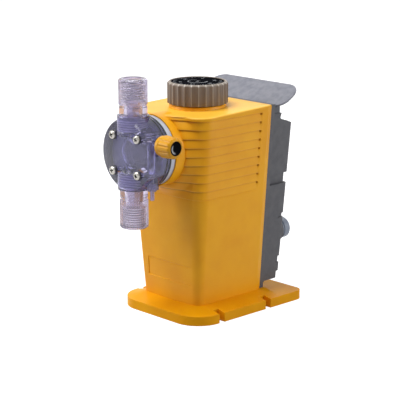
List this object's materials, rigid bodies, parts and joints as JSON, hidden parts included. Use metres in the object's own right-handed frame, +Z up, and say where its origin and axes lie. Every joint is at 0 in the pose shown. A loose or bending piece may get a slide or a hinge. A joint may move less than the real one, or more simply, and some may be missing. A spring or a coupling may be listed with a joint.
{
  "type": "diaphragm metering pump",
  "caption": "Solenoid diaphragm metering pump: tapered casing on a slotted base, clear valved head, stroke dial, air vent and rear control panel.",
  "frame": {"origin": "on the base plate's underside, under the shaft line and between the casing's front and rear", "axes": "+Z up, -Y towards the pump head, +X towards the vent knob"},
  "size_m": [0.1218, 0.1968, 0.241],
  "materials": {
    "yellow_casing": "moulded, fine satin texture",
    "yellow_base": "moulded, fine satin texture",
    "yellow_knob": "semi-gloss moulded",
    "grey_housing": "moulded, fine texture",
    "grey_hood": "moulded, fine texture",
    "brown_dial": "moulded, satin",
    "black_face": null,
    "clear_head": "clear, faint lavender tint",
    "clear_joint": "clear, faint pink tint",
    "ring_grey": "satin light grey",
    "black_rubber": "matt black elastomer",
    "stainless": "bright stainless",
    "steel": "machined steel",
    "yoke_steel": "black passivated steel",
    "bronze": "plain bearing bronze",
    "copper_winding": "enamelled copper wire",
    "nylon": "natural nylon",
    "ball_ceramic": "polished ceramic",
    "board_green": "glass-fibre circuit board",
    "transformer_iron": "varnished laminations",
    "capacitor_can": "sleeved aluminium can",
    "gland_grey": "light blue-grey nylon",
    "panel_film": "satin film",
    "window_clear": "clear window",
    "display_grey": "liquid crystal display",
    "key_grey": "silicone key",
    "key_red": "silicone key",
    "key_green": "silicone key"
  },
  "bodies": {
    "pump_body": {"base_plate": "yellow_base", "base_screws": "stainless", "main_casing": "yellow_casing", "casing_gasket": "black_rubber", "rear_housing": "grey_housing", "rear_screws": "stainless", "hood_pin": "stainless", "panel_overlay": "panel_film", "display_window": "window_clear", "display_module": "display_grey", "control_board": "board_green", "key_switches": "nylon", "power_board": "board_green", "transformer": "transformer_iron", "capacitors": "capacitor_can", "cable_gland": "gland_grey", "gland_nut": "gland_grey", "gland_seal": "black_rubber", "pole_core": "steel", "pole_bush": "bronze", "solenoid_yoke": "yoke_steel", "yoke_bush": "bronze", "coil_bobbin": "nylon", "coil_winding": "copper_winding", "return_spring": "stainless", "backing_ring": "ring_grey", "diaphragm": "black_rubber", "pump_head": "clear_head", "head_screws": "stainless", "head_washers": "stainless", "discharge_seat": "black_rubber", "discharge_guide": "nylon", "suction_seat": "black_rubber", "suction_guide": "nylon", "discharge_joint": "clear_joint", "suction_joint": "clear_joint", "vent_nipple": "clear_joint", "spindle_bush": "bronze", "cam_bracket": "steel"},
    "hood": {"hood": "grey_hood"},
    "stroke_dial": {"stroke_dial": "brown_dial", "dial_face": "black_face", "dial_spindle": "stainless", "stroke_cam": "steel"},
    "drive_shaft": {"drive_shaft": "stainless", "plunger": "steel", "spring_collar": "steel", "diaphragm_insert": "steel"},
    "vent_needle": {"vent_needle": "stainless"},
    "vent_knob": {"vent_knob": "yellow_knob", "vent_cap": "black_face"},
    "suction_ball": {"suction_ball": "ball_ceramic"},
    "discharge_ball": {"discharge_ball": "ball_ceramic"},
    "key_start": {"key_start": "key_green"},
    "key_stop": {"key_stop": "key_red"},
    "key_up": {"key_up": "key_grey"},
    "key_down": {"key_down": "key_grey"}
  },
  "joints": [
    {"name": "hood_tilt", "type": "hinge", "parent": "pump_body", "child": "hood", "pos_m": [0, 0.0555, 0.2013], "axis": [1, 0, 0], "range_deg": [-29.85, 0]},
    {"name": "dial_turn", "type": "hinge", "parent": "pump_body", "child": "stroke_dial", "pos_m": [0, -0.006, 0.2], "axis": [0, 0, 1], "range_deg": [0, 300]},
    {"name": "shaft_stroke", "type": "slide", "parent": "pump_body", "child": "drive_shaft", "axis": [0, -1, 0], "range_m": [0, 0.0015], "stiffness_N_per_m": 1500, "deforming": ["return_spring", "diaphragm"]},
    {"name": "vent_lift", "type": "slide", "parent": "pump_body", "child": "vent_needle", "axis": [1, 0, 0], "range_m": [0, 0.00095]},
    {"name": "vent_turn", "type": "hinge", "parent": "vent_needle", "child": "vent_knob", "pos_m": [0.045, -0.087, 0.181], "axis": [1, 0, 0], "range_deg": [0, 350]},
    {"name": "suction_lift", "type": "slide", "parent": "pump_body", "child": "suction_ball", "axis": [0, 0, 1], "range_m": [0, 0.0015]},
    {"name": "discharge_lift", "type": "slide", "parent": "pump_body", "child": "discharge_ball", "axis": [0, 0, 1], "range_m": [0, 0.0015]},
    {"name": "key_start_press", "type": "slide", "parent": "pump_body", "child": "key_start", "axis": [0, -0.3024, -0.9532], "range_m": [0, 0.0008], "stiffness_N_per_m": 400, "springref_m": -0.0006},
    {"name": "key_stop_press", "type": "slide", "parent": "pump_body", "child": "key_stop", "axis": [0, -0.3024, -0.9532], "range_m": [0, 0.0008], "stiffness_N_per_m": 400, "springref_m": -0.0006},
    {"name": "key_up_press", "type": "slide", "parent": "pump_body", "child": "key_up", "axis": [0, -0.3024, -0.9532], "range_m": [0, 0.0008], "stiffness_N_per_m": 400, "springref_m": -0.0006},
    {"name": "key_down_press", "type": "slide", "parent": "pump_body", "child": "key_down", "axis": [0, -0.3024, -0.9532], "range_m": [0, 0.0008], "stiffness_N_per_m": 400, "springref_m": -0.0006}
  ],
  "couplings": [
    {"joint": "vent_turn", "follows": "vent_lift", "rad_per_m": 6430.2}
  ]
}
